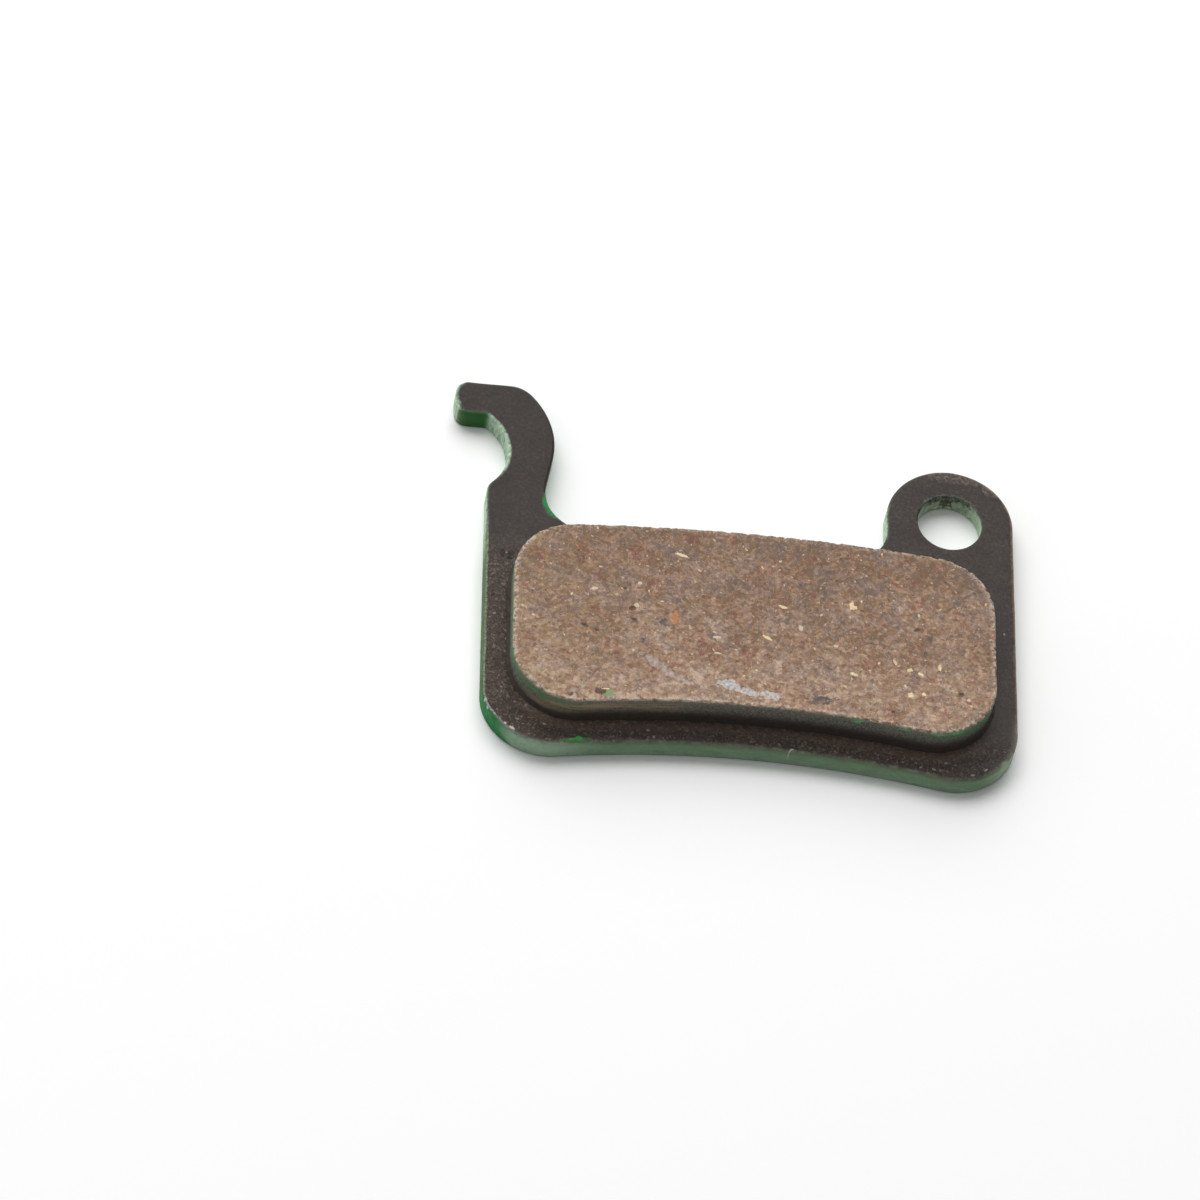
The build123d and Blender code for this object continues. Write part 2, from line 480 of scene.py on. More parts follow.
def lining_relief(piece):
    """Grain and pits on the face, a chipped edge, and a drawn, uneven wall."""
    points, normals, rims = mesh_arrays(piece)
    face = smooth_step(*face_border, rims)
    edge = smooth_step(*edge_start, rims) * smooth_step(*edge_end, rims)
    wall = smooth_step(*wall_start, rims) * smooth_step(*wall_end, rims)
    foot = smooth_step(*foot_border, rims)
    heights = face * face_relief * rough(points, face_grain)
    heights -= face * pit_depth * pits(points)
    heights -= face * pit_mark_depth * smooth_step(*pit_mark_border, mark_share(points, pit_marks))
    heights -= edge * chip_depth * np.clip(rough(points, chip_size) - chip_least, 0, 1)
    heights += edge * fray_depth * rough(points, fray_size)
    heights += wall * wall_relief * rough(points, wall_grain)
    heights += wall * drawn_relief * rough(points * drawn_factors, drawn_grain)
    heights += foot * foot_spread * np.clip(rough(points, foot_swell), 0, 1)
    heights[rims > HIDDEN - 1] = 0.0
    roughen(piece, points, normals, heights)


# Masks

# Places on the plate, each by the borders of some fields
front = [("y", -6, -8)]
leftward = [("x", -13, -16), ("y", 7, 3)]
sides = [("rim", 1.75, 1.55)]
front_edge = front + sides + [("x", -15.5, -12.5)]
near_lining, off_lining = [("away", 1.3, 0.3)], [("away", 0.7, 1.5)]
in_bore, off_bore = [("axis", 2.5, 2.499)], [("axis", 2.499, 2.5)]
notch_wall = [("notch", 0.4, 0.2), ("y", 10.8, 12.5)]
under_finger = [("finger", 0.45, 0.25), ("x", -17.8, -18.3)]
finger_tip = [("x", -19.5, -19.9), ("y", 16.3, 16.9)]
left_walls = [("right", -0.15, -0.7), ("far", -0.9, -0.5), ("y", -5, -4.999)]
far_walls = [("outward", 0.05, 0.4), ("shoulder", 1.5, 1.501)]
left_rim = [("x", -15, -17.6), ("y", 9, 5)]
past_left_corner = [("x", -17, -15.5)]
# The painted highlight on the left walls grows from here towards the hook
chalk_rise = [("y", 3.5, 8)]
shoulder_place = (-18, 10.7)

# Masks on the plate: each is the strongest of its rows of strength and place
plate_wear = {
    "wrap": [
        (0.5, [("patch", 0, 0.5)]), (0.2, notch_wall), (0.2, under_finger), (0.1, finger_tip),
        (0.1, [("y", -7.5, -8.5)]), (0.14, in_bore + [("past_axis", 1, 1.8)]),
    ],
    "grit": [(0.75, front), (1, leftward)],
    # a dusty film; beside the lining it is a painted lift of the lining's shadow
    "dust": [(0.9, front + near_lining), (0.05, leftward + near_lining), (0.13, leftward)],
    # painted shade on the front band away from the lining, and a darker hook end
    "dark": [(1, front + off_lining), (0.7, [("y", 6, 10), ("x", -8, -8.001)])],
    # painted sheen: paler, greyer green on the front edge and in the pin hole
    "faded": [(0.9, front_edge), (0.9, in_bore)],
    "foremost": [(1, front_edge)],
    "leftmost": [(0.8, sides + [("x", -17.5, -17.501), ("y", 8.5, 6), ("y", -7.5, -5.5)])],
    "shaded": [(1, under_finger)],
    "bored": [(1, in_bore)],
    "soot": [
        (0.26, in_bore + [("far", 0, -0.8)]),
        (0.62, [("axis", 2.5, 2.3), ("rim", 1.3, 0.2), ("past_axis", 0.9, 1.8)]),
    ],
    # painted sheen: pale green over the front corners and the sides of the pin hole
    "haze": [
        (1, [("x", -17.2, -15.7), ("x", -9, -14), ("y", -5, -7)]),
        (0.9, [("x", 15.5, 17.2), ("y", -4, -6)]), (0.6, in_bore + [("sideways", 0.6, 0.95)]),
    ],
    "brown_rim": [(1, off_bore + [("x", 14, 17), ("y", -9, -6), ("rim", 1.7, 1.3)])],
}
far_bare = 0.3
# Painted highlight on the walls that face the light: its strength, its share low on the left walls, and in
# the pin hole
chalk, low_chalk, bore_chalk = 0.9, 0.05, 0.3
# A pale line on the rolled rim, worn paint and a painted highlight, strongest along the lit left edge
rim_least, rim_bright = 0.05, 0.75
# The painted sheen reaches this far down the walls, further past the left corner
haze_reach, haze_deeper = 1, 0.8

# Places on the lining's walls
high_wall = [("rim", 1.6, 0.1)]
low_corners = [("ends", 0.6, 0.9), ("y", -1, -5)]
left_end = [("across", -0.92, -1)]
left_corner = [("x", -11, -14.5), ("y", -4, -6)]
right_lip = [("x", 3, 7), ("y", -4, -4.001), ("rim", 0.7, 0.25)]
bare_stretch = [("x", -15.8, -14), ("x", -3, -7), ("y", -5, -5.001), ("rim", 0.25, 0.6)]
# At the left corner the bare stretch reaches lower: tan streaks that also lift the shade there as painted
# light
bare_foot, bare_dip = (1.5, 1.2), 0.35
# Where the walls are lit, the painted shade at their foot is lifted
lit_wall = [("rim", 2, 1.5)]
thick_mist = [(0.62, low_corners), (0.62, left_end + [("y", 6, 2)])]
mist_least, mist_high, mist_lip = 0.22, 0.1, 0.2
lit_places = [(0.4, left_end + lit_wall), (0.95, left_corner + lit_wall)]


def region(fields, borders):
    """Product of the borders at each point."""
    return math.prod(smooth_step(start, end, fields[field]) for field, start, end in borders)


def strongest(fields, rows):
    """The largest of several regions at each point, each times its strength."""
    return np.max([strength * region(fields, borders) for strength, borders in rows], axis=0)


def distance(points, place):
    """Level distance of each point from a place."""
    return np.linalg.norm(points[:, :2] - place, axis=1)


def lining_masks(piece):
    """Paint mist on the walls, thickest at the lower corners, a bare stretch that reaches lower at the left
    corner, where it also lifts the shade as painted light, and painted shade at the foot, lifted where the
    walls are lit.
    """
    points, _, rims = mesh_arrays(piece)
    across = points[:, 0] / points[:, 0].max()
    fields = {"x": points[:, 0], "y": points[:, 1], "rim": rims, "across": across, "ends": np.abs(across)}
    high = region(fields, high_wall)
    spray = mist_least + high * (mist_high + strongest(fields, thick_mist))
    dip = bare_dip * region(fields, left_corner)
    set_attributes(
        piece.data,
        spray=spray + mist_lip * region(fields, right_lip),
        bare=region(fields, bare_stretch) * smooth_step(*bare_foot, rims - dip),
        gloom=1 - strongest(fields, lit_places),
    )


def plate_masks(piece, lining, pin_hole):
    """Where paint laps over the rim, how it differs from place to place, where grit and dirt lie, and where
    highlights, sheen and shade are painted on it.
    """
    points, normals, rims = mesh_arrays(piece)
    x, y = points[:, 0], points[:, 1]
    right, far = normals[:, 0], normals[:, 1]
    pin_axis = pin_hole.points.mean(0)
    fields = {
        "x": x, "y": y, "rim": rims, "away": -lining.depth(points[:, :2]),
        "right": right, "far": far, "sideways": np.abs(right), "outward": np.maximum(right, far),
        "axis": distance(points, pin_axis), "past_axis": y - pin_axis[1],
        "notch": np.abs(distance(points, notch_centre) - notch_radius), "finger": np.abs(y - finger_lower),
        "shoulder": distance(points, shoulder_place), "patch": mark_share(points, wrap_marks),
    }
    masks = {name: strongest(fields, rows) for name, rows in plate_wear.items()}
    masks["wrap"] -= far_bare * (masks["wrap"] == 0) * region(fields, far_walls)
    # Painted highlight on the left walls, the notch wall and the finger tip, none under the finger except at
    # its tip
    tip = region(fields, finger_tip)
    rising = low_chalk + (1 - low_chalk) * region(fields, chalk_rise)
    chalky = np.max([region(fields, left_walls) * rising, region(fields, notch_wall), tip], axis=0)
    chalky *= chalk * (1 - masks["shaded"] * (1 - tip))
    set_attributes(
        piece.data,
        **masks,
        chalky=np.maximum(chalky, bore_chalk * masks["bored"]),
        haze_reach=haze_reach + haze_deeper * region(fields, past_left_corner),
        bright_rim=rim_least + rim_bright * region(fields, left_rim),
    )


# Materials

least_chip = 0.5  # size of the smallest scattered chip, as a share of the largest
mark_border = (1.1, 0.9)
mark_fray = (3.0, 0.65)  # detail and roughness of a mark's frayed edge


class Graph:
    """The node tree of a material or of the world, built by calls that return sockets."""

    def __init__(self, owner):
        owner.use_nodes = True
        self.tree = owner.node_tree
        self.tree.nodes.clear()

    @cached_property
    def place(self):
        """Object coordinates in millimetres."""
        where = self.node("TexCoord").outputs["Object"]
        return self.vector("SCALE", {0: where, "Scale": 1 / MM})["Vector"]

    @cached_property
    def axes(self):
        return self.node("SeparateXYZ", {0: self.place}).outputs

    def node(self, kind, inputs=None, **settings):
        made = self.tree.nodes.new("ShaderNode" + kind)
        for name, value in settings.items():
            setattr(made, name, value)
        for name, value in (inputs or {}).items():
            self.set(made.inputs[name], value)
        return made

    def set(self, socket, value):
        if isinstance(value, bpy.types.NodeSocket):
            self.tree.links.new(value, socket)
        elif socket.type == "RGBA":
            socket.default_value = (*value, 1.0)
        else:
            socket.default_value = value

    def field(self, name):
        return self.node("Attribute", attribute_name=name).outputs["Fac"]

    def vector(self, operation, inputs):
        return self.node("VectorMath", inputs, operation=operation).outputs

    def math(self, operation, *values):
        return self.node("Math", dict(enumerate(values)), operation=operation).outputs[0]

    def add(self, *values):
        return reduce(partial(self.math, "ADD"), values)

    def times(self, *values):
        return reduce(partial(self.math, "MULTIPLY"), values)

    def most(self, *values):
        return reduce(partial(self.math, "MAXIMUM"), values)

    def scaled(self, value, factor, offset):
        return self.math("MULTIPLY_ADD", value, factor, offset)

    def sway(self, value, amount):
        """A noise turned about zero, from minus to plus half the amount."""
        return self.scaled(value, amount, -amount / 2)

    def step(self, value, start, end):
        """The smooth step of a socket's value."""
        inputs = {"Value": value, "From Min": start, "From Max": end}
        return self.node("MapRange", inputs, interpolation_type="SMOOTHSTEP").outputs["Result"]

    def noise(self, size, detail=2.0, roughness=0.5, border=None, stretch=None):
        """Noise of about that size, or its patches past a border. Small factors draw it out along an axis."""
        place = self.vector("MULTIPLY", {0: self.place, 1: stretch})["Vector"] if stretch else self.place
        inputs = {"Vector": place, "Scale": 1 / size, "Detail": detail, "Roughness": roughness}
        value = self.node("TexNoise", inputs).outputs["Fac"]
        return self.step(value, *border) if border else value

    def mix(self, share, a, b):
        return self.node("Mix", {0: share, 6: a, 7: b}, data_type="RGBA").outputs[2]

    def over(self, colour, *coats):
        """Lays coats over a colour. Each is a colour and a strength, then the shares that it is laid by."""
        for (tint, strength), *shares in coats:
            colour = self.mix(self.times(*shares, strength), colour, tint)
        return colour

    def ramp(self, value, stops):
        made = self.node("ValToRGB", {"Fac": value})
        elements = made.color_ramp.elements
        for _ in stops[2:]:
            elements.new(0.5)
        for element, (position, colour) in zip(elements, stops):
            element.position = position
            element.color = (*colour, 1.0)
        return made.outputs["Color"]

    def cells(self, spacing):
        """Middles of scattered cells, and three random numbers for each."""
        cell = self.node("TexVoronoi", {"Vector": self.place, "Scale": 1 / spacing}).outputs
        return cell["Position"], self.node("SeparateColor", {"Color": cell["Color"]}).outputs

    def ellipse(self, middle, turn, half_length, half_width, half_depth):
        """Distance from the middle of a turned ellipsoid, 1 at its surface."""
        offset = self.vector("SUBTRACT", {0: self.place, 1: middle})["Vector"]
        turned = self.node("VectorRotate", {"Vector": offset, "Angle": turn}, rotation_type="Z_AXIS")
        factors = (1 / half_length, 1 / half_width, 1 / half_depth)
        scaled = self.vector("MULTIPLY", {0: turned.outputs[0], 1: factors})["Vector"]
        return self.vector("LENGTH", {0: scaled})["Value"]

    def chips(self, spacing, half_length, half_width, share, ragged, soft):
        """Mask of scattered chips that lie every way, and a random number for each."""
        middle, draws = self.cells(spacing)
        turn = self.times(draws[0], 2 * math.pi)
        reach = self.ellipse(middle, turn, half_length, half_width, half_length)
        frayed = self.add(reach, self.times(self.noise(half_width), ragged))
        limit = self.scaled(draws[2], 1 - least_chip, least_chip + ragged / 2)
        inside = self.step(self.math("SUBTRACT", limit, frayed), 0.0, soft)
        return self.times(inside, self.math("LESS_THAN", draws[1], share)), draws[2]

    def marks(self, marks, height, ragged, size, depth=1.0):
        """Mask of marks placed one by one at a height, with frayed edges."""
        fray = self.sway(self.noise(size, *mark_fray), ragged)
        masks = []
        for x, y, half_length, half_width, turn in marks:
            reach = self.ellipse((x, y, height), -math.radians(turn), half_length, half_width, depth)
            masks.append(self.step(self.add(reach, fray), *mark_border))
        return self.most(*masks)

    def layers(self, colour, height, layers, *shares):
        """Lays rows of marks over a colour, each with a fray and a coat."""
        for marks, fray, coat in layers:
            colour = self.over(colour, (coat, self.marks(marks, height, *fray), *shares))
        return colour

    def finish(self, colour, roughness, height, bump, specular, metallic=0.0):
        distance, strength = bump
        bumped = self.node("Bump", {"Height": height, "Distance": distance * MM, "Strength": strength})
        shader = self.node("BsdfPrincipled", {
            "Base Color": colour, "Roughness": roughness, "Normal": bumped.outputs["Normal"],
            "Specular IOR Level": specular, "Metallic": metallic,
        })
        self.node("OutputMaterial", {"Surface": shader.outputs["BSDF"]})


# In the values of both materials a noise is a size, detail and roughness, then the border of its patches and
# the factors that stretch it. Grains are a spacing, half length, half width, share of the cells, raggedness
# and softness. A fray is a raggedness, size and half depth, a coat a colour and a strength, and a span the
# factor and the offset that scale a share.

# Resin
cell_size = 0.28
fine_noise, medium_noise, broad_noise = (0.21, 3, 0.66), (0.55, 3, 0.6), (3, 2, 0.5)
drawn_noise = (0.3, 2, 0.5, None, (1, 0.16, 1))
cell_span, fine_tone, medium_tone, broad_tone, drawn_tone = (0.26, -0.065), 0.72, 0.46, 0.4, 0.16
tone_rise = -0.018  # per millimetre along y; paler towards the front, partly a painted fall-off of the light
resin_tones = [
    (0.16, (0.06, 0.038, 0.028)), (0.34, (0.15, 0.09, 0.061)), (0.46, (0.26, 0.163, 0.115)),
    (0.58, (0.37, 0.25, 0.178)), (0.79, (0.66, 0.51, 0.39)),
]
hue_noise, hue_cloud = (0.35, 2, 0.5), (1.4, 3, 0.5)
cell_hue, noise_hue, hue_start = 0.3, 0.3, -0.3
resin_tints = [
    (0.24, (0.42, 0.18, 0.14)), (0.4, (0.39, 0.24, 0.115)), (0.56, (0.38, 0.265, 0.2)),
    (0.82, (0.27, 0.225, 0.21)),
]
tint_share = 0.36
mustard_side, mustard_noise = (-8, -15), (0.9, 3, 0.6, (0.44, 0.64))
mustard_coat = ((0.37, 0.26, 0.1), 0.24)

# Grains in the resin, the lowest first: grains, span of the strength over chance, colour
grain_layers = [
    ((0.38, 0.15, 0.085, 0.6, 0.9, 0.4), (0.4, 0.1), (0.7, 0.57, 0.49)),  # pale crumbs
    ((0.85, 0.24, 0.15, 0.4, 1.6, 0.5), (0, 0.34), (0.6, 0.51, 0.45)),  # lumps
    ((0.66, 0.16, 0.08, 0.42, 0.8, 0.12), (0, 0.45), (0.6, 0.44, 0.2)),  # ochre
    ((0.37, 0.26, 0.04, 0.75, 0.9, 0.12), (0, 0.24), (0.6, 0.5, 0.41)),  # strands
    ((0.33, 0.24, 0.045, 0.7, 0.9, 0.12), (0, 0.3), (0.09, 0.055, 0.045)),  # furrows
    ((0.62, 0.15, 0.1, 0.42, 1.2, 0.2), (0, 0.55), (0.07, 0.045, 0.038)),  # dark grains
    ((0.6, 0.12, 0.065, 0.5, 0.7, 0.3), (0.5, 0.1), (0.76, 0.64, 0.54)),  # bright crumbs
]
bead_grains, bead_fray = (1.1, 0.14, 0.1, 0.4, 1.3, 0.2), (1.6, 0.18)
bead_coat = ((0.76, 0.64, 0.5), 0.7)
rust_grains, rust_fray = (1.1, 0.2, 0.09, 0.35, 0.5, 0.12), (1.5, 0.2)
rust_grain_strength, rust_mark_strength = 0.3, 0.85
rust_colours = (0.36, 0.13, 0.05), (0.66, 0.32, 0.13)

# Marks on the face, the lowest first: marks, fray, coat
blotch_layers = [(blotch_marks, (1.6, 0.35), ((0.115, 0.095, 0.085), 1))]
smear_layers = [
    (smear_marks, (1.9, 0.3), ((0.62, 0.64, 0.65), 0.95)),
    (faint_marks, (2, 0.3), ((0.56, 0.55, 0.56), 0.42)),
]
face_layers = [
    (pit_marks, (1.6, 0.18), ((0.075, 0.044, 0.03), 0.72)),
    (green_marks, (1.8, 0.14), ((0.22, 0.33, 0.15), 0.8)),
    (gouge_marks, (1.7, 0.16), ((0.07, 0.04, 0.03), 0.85)),
]
blotch_border, smear_noise = (0.36, 0.58), (0.27, 4, 0.6, (0.2, 0.7))
edge_band, edge_rise, edge_noise = (-0.35, -0.05), (8.5, 4.5), (0.2, 3, 0.7, (0.44, 0.6))
edge_coat = ((0.66, 0.57, 0.47), 0.7)

# Brass
small_brass, large_brass = (0.7, 0.15, 0.08, 0.24, 1, 0.2), (1.5, 0.24, 0.11, 0.2, 0.8, 0.12)
small_span, large_strength, placed_strength = (0.5, 0.2), 0.65, 0.82
brass_fray, brass_colours = (1.7, 0.14), ((0.38, 0.29, 0.14), (0.84, 0.72, 0.45))

# Walls of the lining
wander_noise, wander_amount, wall_border = (0.2, 3, 0.7), 0.4, (0.08, 0.18)
mottle_noise = (0.17, 4, 0.75, (0.25, 0.75))
mottle_colours = (0.056, 0.053, 0.046), (0.245, 0.237, 0.197)
bare_noise, bare_coat = (0.5, 3, 0.6, (0.36, 0.62), (0.22, 0.22, 5)), ((0.36, 0.27, 0.16), 1)
mist_noise, mist_amount, mist_border = (0.3, 4, 0.75), 1.3, (0.3, 0.95)
dapple_noise, dapple_span = (0.5, 4, 0.65, (0.36, 0.6)), (0.55, 0.35)
mist_coat = ((0.055, 0.21, 0.068), 1)
dab_fray, dab_coat = (2.2, 0.25, 0.4), ((0.1, 0.45, 0.17), 0.95)
lip_band, lip_coat = (0.55, 0.15), ((0.3, 0.28, 0.23), 0.3)
# Painted shade, darker towards the foot of the walls
gloom_noise, gloom_wander, gloom_border = (0.3, 3), 1.5, (0.7, 1.75)
gloom_colours = (0.025, 0.019, 0.016), (0.065, 0.05, 0.041)

# Shine of the compound
rough_span, brass_metal, compound_specular = (-0.35, 0.82), 0.3, 0.25
compound_grain, cell_height, compound_bump = (0.08, 3, 0.7), 0.5, (0.025, 0.8)


def resin(g, draws, fine, medium):
    """Brown resin, uneven from cell to cell and in patches of several sizes."""
    tone = g.add(
        g.scaled(draws[0], *cell_span), g.times(fine, fine_tone), g.sway(medium, medium_tone),
        g.sway(g.noise(*broad_noise), broad_tone), g.sway(g.noise(*drawn_noise), drawn_tone),
        g.times(g.axes["Y"], tone_rise),
    )
    uneven = g.times(g.noise(*hue_noise), noise_hue)
    hue = g.add(g.times(draws[1], cell_hue), uneven, g.noise(*hue_cloud), hue_start)
    colour = g.mix(tint_share, g.ramp(tone, resin_tones), g.ramp(hue, resin_tints))
    return g.over(colour, (mustard_coat, g.step(g.axes["X"], *mustard_side), g.noise(*mustard_noise)))


def grains(g, colour, top, fine):
    """Crumbs, strands, beads and rust-red chips in the resin."""
    for shape, span, tint in grain_layers:
        mask, chance = g.chips(*shape)
        colour = g.mix(g.times(mask, g.scaled(chance, *span)), colour, tint)
    beads = g.most(g.chips(*bead_grains)[0], g.marks(bead_marks, top, *bead_fray))
    colour = g.over(colour, (bead_coat, beads))
    scattered = g.times(g.chips(*rust_grains)[0], rust_grain_strength)
    placed = g.times(g.marks(rust_marks, top, *rust_fray), rust_mark_strength)
    return g.mix(g.most(scattered, placed), colour, g.mix(fine, *rust_colours))


def face_marks(g, colour, top, medium, rim):
    """Blotches, smears, pits and chips on the lining's face, and its rubbed edge."""
    colour = g.layers(colour, top, blotch_layers, g.step(medium, *blotch_border))
    colour = g.layers(colour, top, smear_layers, g.noise(*smear_noise))
    colour = g.layers(colour, top, face_layers)
    lower = g.step(g.axes["Y"], *edge_rise)
    return g.over(colour, (edge_coat, g.step(rim, *edge_band), g.noise(*edge_noise), lower))


def brass_chips(g, top):
    """How much brass shows, in small and large chips and in those placed one by one."""
    small, shine = g.chips(*small_brass)
    small = g.times(small, g.scaled(shine, *small_span))
    large = g.times(g.chips(*large_brass)[0], large_strength)
    return g.most(small, large, g.times(g.marks(brass_marks, top, *brass_fray), placed_strength))


def wall_coat(g, top, rim, wander):
    """The lining's walls: mottled skin, bare streaks, green mist, and painted shade towards the foot."""
    spray = g.add(g.field("spray"), g.sway(g.noise(*mist_noise), mist_amount))
    dapple = g.scaled(g.noise(*dapple_noise), *dapple_span)
    colour = g.over(
        g.mix(g.noise(*mottle_noise), *mottle_colours),
        (bare_coat, g.field("bare"), g.noise(*bare_noise)),
        (mist_coat, g.step(spray, *mist_border), dapple),
        (dab_coat, g.marks(lip_marks, top, *dab_fray)),
        (lip_coat, g.step(rim, *lip_band)),
    )
    low = g.step(g.add(rim, g.times(wander, gloom_wander)), *gloom_border)
    gloom = g.times(g.field("gloom"), low)
    return g.mix(gloom, colour, g.mix(g.noise(*gloom_noise), *gloom_colours))


def compound_material():
    """Friction compound: brown resin full of grains and brass chips, with paint mist on the walls."""
    material = bpy.data.materials.new("friction_compound")
    g = Graph(material)
    top = node_levels("friction_lining")[-1]
    rim = g.field("rim")
    _, draws = g.cells(cell_size)
    fine, medium = g.noise(*fine_noise), g.noise(*medium_noise)
    colour = resin(g, draws, fine, medium)
    colour = grains(g, colour, top, fine)
    colour = face_marks(g, colour, top, medium, rim)
    wander = g.sway(g.noise(*wander_noise), wander_amount)
    wall = g.step(g.add(rim, wander), *wall_border)
    colour = g.mix(wall, colour, wall_coat(g, top, rim, wander))
    metal = g.times(brass_chips(g, top), g.math("SUBTRACT", 1.0, wall))
    colour = g.mix(metal, colour, g.mix(fine, *brass_colours))
    roughness, metallic = g.scaled(metal, *rough_span), g.times(metal, brass_metal)
    height = g.add(g.noise(*compound_grain), g.times(draws[0], cell_height))
    g.finish(colour, roughness, height, compound_bump, compound_specular, metallic)
    return material


# Primer
coat_noise, cloud_noise, coat_share, cloud_share = (0.22, 3, 0.75), (1.8, 3), 0.75, 0.25
primer_tones = [
    (0.35, (0.0133, 0.0093, 0.0072)), (0.5, (0.0304, 0.0226, 0.0179)), (0.65, (0.063, 0.05, 0.04)),
]
tinge_noise, tinge_coat = (0.45, 3, 0.5, (0.42, 0.6)), ((0.037, 0.0215, 0.0165), 0.3)
coarse_noise, coarse_coat = (0.26, 5, 0.8, (0.46, 0.62)), ((0.2, 0.155, 0.123), 0.6)
hollow_noise, hollow_coat = (0.36, 4, 0.7, (0.46, 0.37)), ((0.01, 0.007, 0.0055), 0.85)
# Painted shade over the front band, also darkening the hook end
dark_coat = ((0.014, 0.0095, 0.0075), 0.42)
# A dusty brown film; beside the lining it is a painted lift of the lining's shadow
dust_span, dust_coat = (0.5, 0.6), ((0.24, 0.17, 0.135), 1)
mote_grains, mote_coat = (1.3, 0.09, 0.05, 0.35, 0.5, 0.12), ((0.4, 0.35, 0.31), 0.5)
worn_fray, worn_span, worn_coat = (2.6, 0.35), (0.6, 0.1), ((0.21, 0.155, 0.125), 1)
fleck_noise, fleck_coat = (0.13, 3, 0.7, (0.52, 0.68)), ((0.21, 0.165, 0.135), 0.9)
speck_grains, speck_coat = (0.4, 0.15, 0.09, 0.5, 1.2, 0.4), ((0.27, 0.22, 0.185), 0.8)
primer_layers = [
    (scuff_marks, (1.3, 0.15), ((0.012, 0.006, 0.004), 0.9)),
    (grit_marks, (1.6, 0.15), ((0.4, 0.34, 0.3), 0.55)),
]

# Green paint, and its stretches that differ: mask, noise, colours
deep_noise, deep_greens = (0.5, 4, 0.6), ((0.016, 0.15, 0.038), (0.036, 0.265, 0.075))
# The front edge's and the pin hole's paler, greyer greens are painted sheen
green_stretches = [
    ("faded", (0.35, 4, 0.65), ((0.15, 0.29, 0.145), (0.29, 0.42, 0.26))),
    ("bored", (0.4, 4, 0.7, (0.3, 0.7)), ((0.17, 0.23, 0.15), (0.56, 0.59, 0.48))),
    ("leftmost", (0.4, 4, 0.65), ((0.035, 0.1, 0.012), (0.08, 0.17, 0.04))),
]
# Painted highlight: pale, streaked greens on the walls that face the light
chalk_noise, chalk_streaks = (0.5, 4, 0.7, (0.25, 0.5)), (0.22, 4, 0.7, (0.22, 0.72), (1, 1, 0.25))
chalk_greens = (0.13, 0.31, 0.16), (0.7, 0.79, 0.66)
shaded_coat = ((0.036, 0.086, 0.018), 0.75)
low_band, low_coat = (0.6, 1.6), ((0.36, 0.48, 0.34), 0.75)
streak_noise, streak_coat = (0.22, 3, 0.65, (0.4, 0.75), (0.12, 0.12, 1)), ((0.19, 0.28, 0.2), 1)
high_band, high_coat = (0.65, 0.15), ((0.16, 0.14, 0.115), 0.55)
# Painted sheen: pale green over the front corners and the sides of the pin hole
haze_noise, haze_span, haze_border = (0.35, 4, 0.65), (0.8, 0.45), (0.2, -0.5)
haze_coat = ((0.43, 0.58, 0.43), 0.9)
stain_layers = [(stain_marks, (3, 0.3, 0.5), ((0.05, 0.026, 0.014), 0.8))]

# Rim of the plate, where the paint meets the primer
rim_noise, rim_amount = (0.6, 4, 0.7), 0.25
lap_noise, lap_reach, paint_border = (0.6, 4, 0.65), 1.8, (0.02, 0.34)
# A pale line along the rolled rim: worn paint and a painted highlight
rubbed_start, rubbed_end = (-0.04, 0.06), (0.24, 0.08)
# Dark patches on the pin hole's far wall and along its far rim
soot_noise, soot_amount, soot_border = (0.26, 4, 0.65), 1.2, (0.16, 0.8)
soot_coat = ((0.02, 0.024, 0.017), 0.92)
# Painted highlight: a pale band on the primer just above the rim, where the sheen is painted
veil_band, veil_coat = (-0.35, 0.1), ((0.17, 0.18, 0.15), 0.5)
flake_noise, flake_span = (0.16, 4, 0.75, (0.36, 0.62)), (0.85, 0.15)
rubbed_colours = (0.5, 0.52, 0.47), (0.27, 0.36, 0.22)
brown_band, brown_span, brown_coat = (-0.05, 0.15), (0.5, 0.3), ((0.34, 0.24, 0.165), 1)
rim_layers = [
    (dull_marks, (1.6, 0.25, 0.2), ((0.07, 0.15, 0.06), 0.7)),
    (lump_marks, (1.6, 0.15, 0.2), ((0.03, 0.34, 0.05), 0.85)),
    (bare_marks, (1.2, 0.12, 0.2), ((0.74, 0.7, 0.66), 0.75)),
    (fibre_marks, (0.4, 0.1), ((0.55, 0.5, 0.46), 0.7)),
]

# Shine of the coat
paint_span, grain_rough, coat_specular = (0.21, 0.34), 0.25, 0.11
grit_height, coat_bump = 1.2, (0.03, 0.8)


def primer(g, top, grain, grit, coarse):
    """Dark primer, with grit, worn places, a dusty film that beside the lining is also a painted lift of its
    shadow, painted shade along the front edge, and a darker hook end.
    """
    tone = g.add(g.times(grain, coat_share), g.times(g.noise(*cloud_noise), cloud_share))
    worn = g.marks(worn_marks, top, *worn_fray)
    specks, pallor = g.chips(*speck_grains)
    colour = g.over(
        g.ramp(tone, primer_tones),
        (tinge_coat, g.noise(*tinge_noise)),
        (coarse_coat, coarse, grit),
        (hollow_coat, g.noise(*hollow_noise), grit),
        (dark_coat, g.field("dark")),
        (dust_coat, g.field("dust"), g.scaled(coarse, *dust_span)),
        (mote_coat, g.chips(*mote_grains)[0]),
        (worn_coat, worn, g.scaled(coarse, *worn_span)),
        (fleck_coat, g.noise(*fleck_noise), grit),
        (speck_coat, specks, pallor, grit),
    )
    return g.layers(colour, top, primer_layers)


